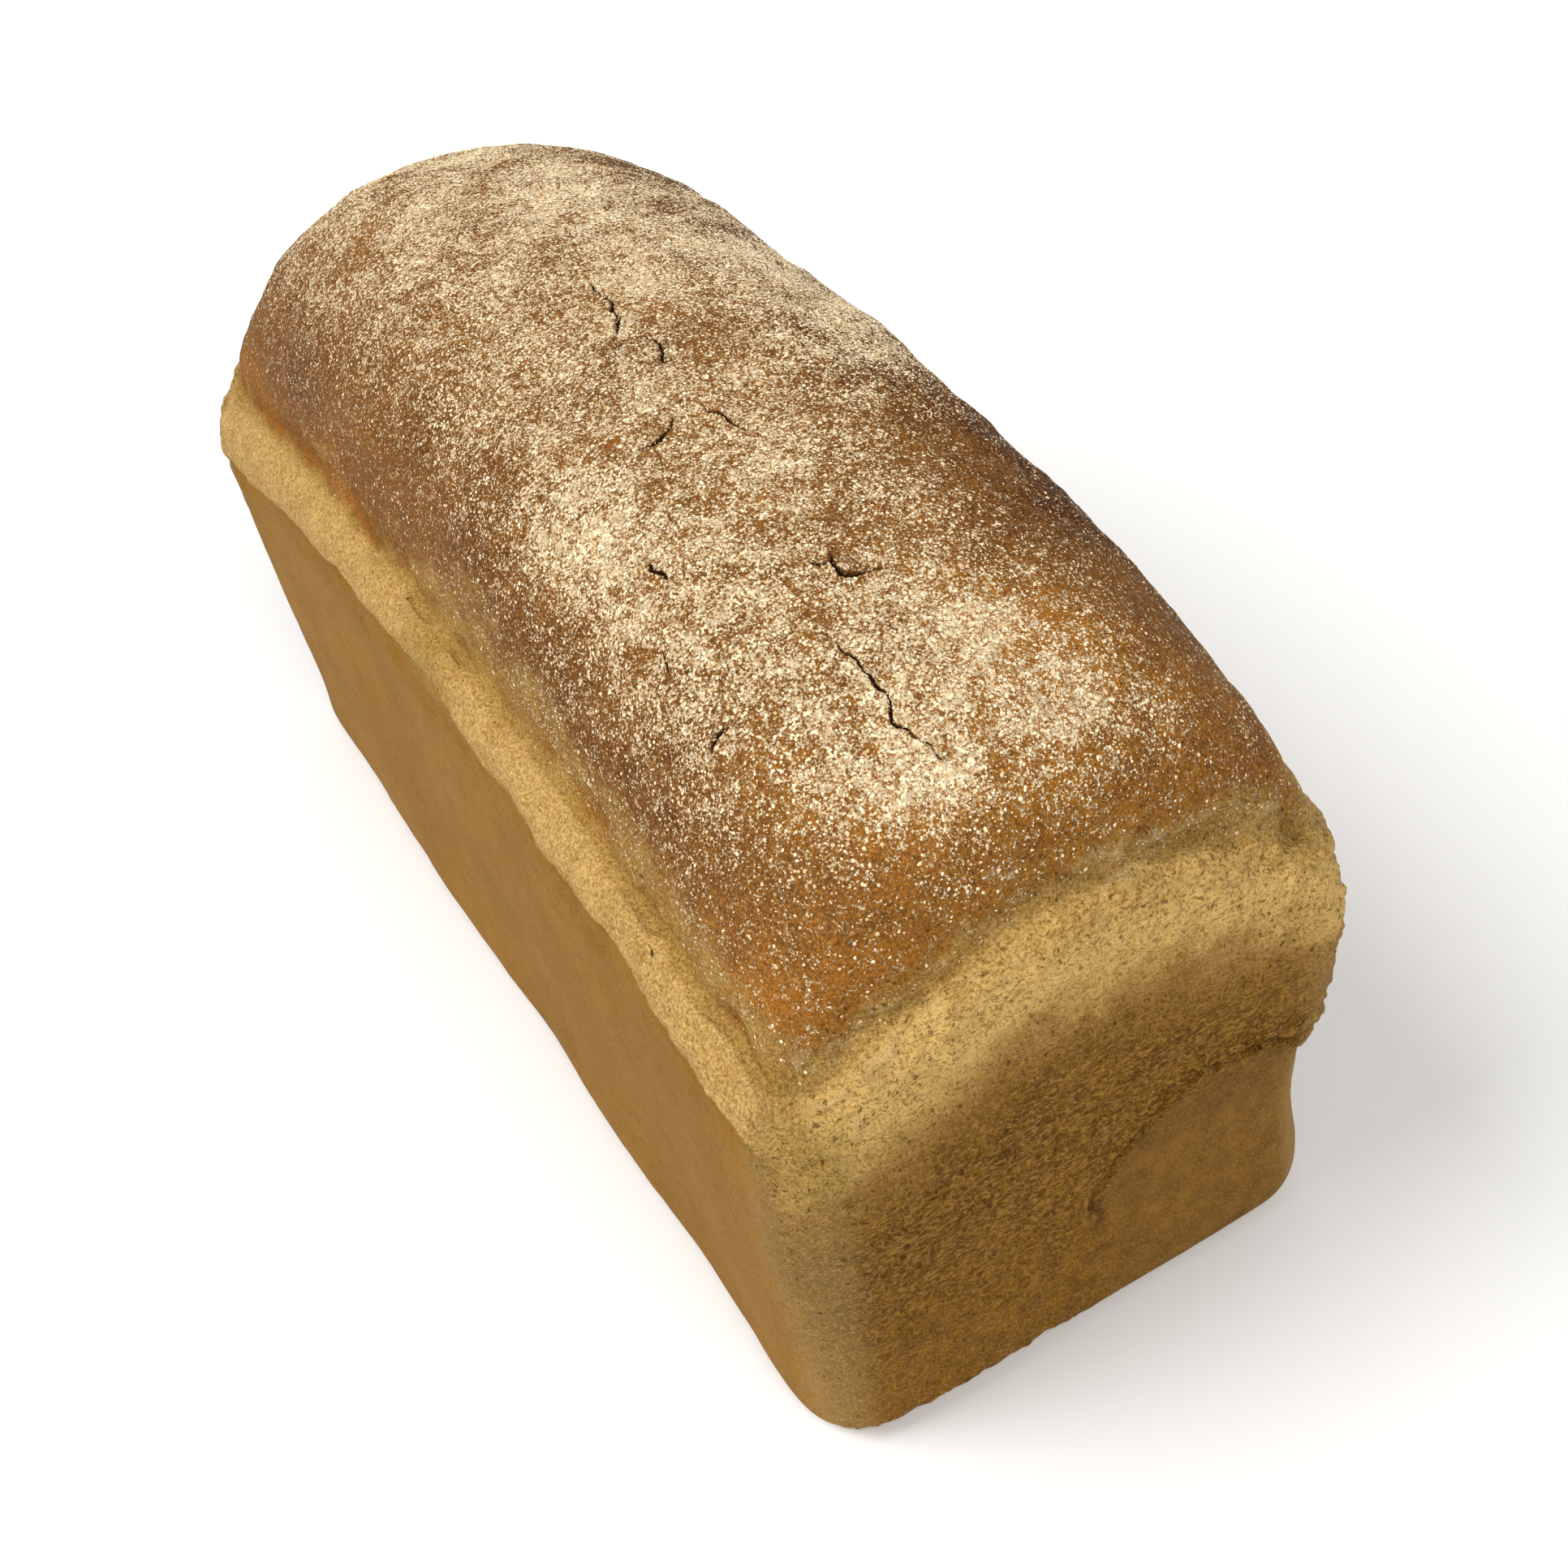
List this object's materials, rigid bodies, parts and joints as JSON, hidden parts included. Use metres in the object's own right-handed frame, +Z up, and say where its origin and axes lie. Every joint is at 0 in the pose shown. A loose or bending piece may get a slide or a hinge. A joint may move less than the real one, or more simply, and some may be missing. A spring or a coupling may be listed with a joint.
{
  "type": "light rye loaf",
  "caption": "Whole tin-baked light rye loaf with a domed, floured crust, a pale rolled rim and a flat base.",
  "frame": {"origin": "under the middle of the loaf's plan outline, on its flat base", "axes": "+X along the loaf to the end with the smooth low panel, +Y across it, +Z up through the domed crust"},
  "size_m": [0.2506, 0.1066, 0.1425],
  "materials": {
    "crust": "matte baked crust, brown and floured on top, pale tan at the rim and walls"
  },
  "bodies": {
    "root": {"light_rye_loaf": "crust"}
  },
  "joints": []
}
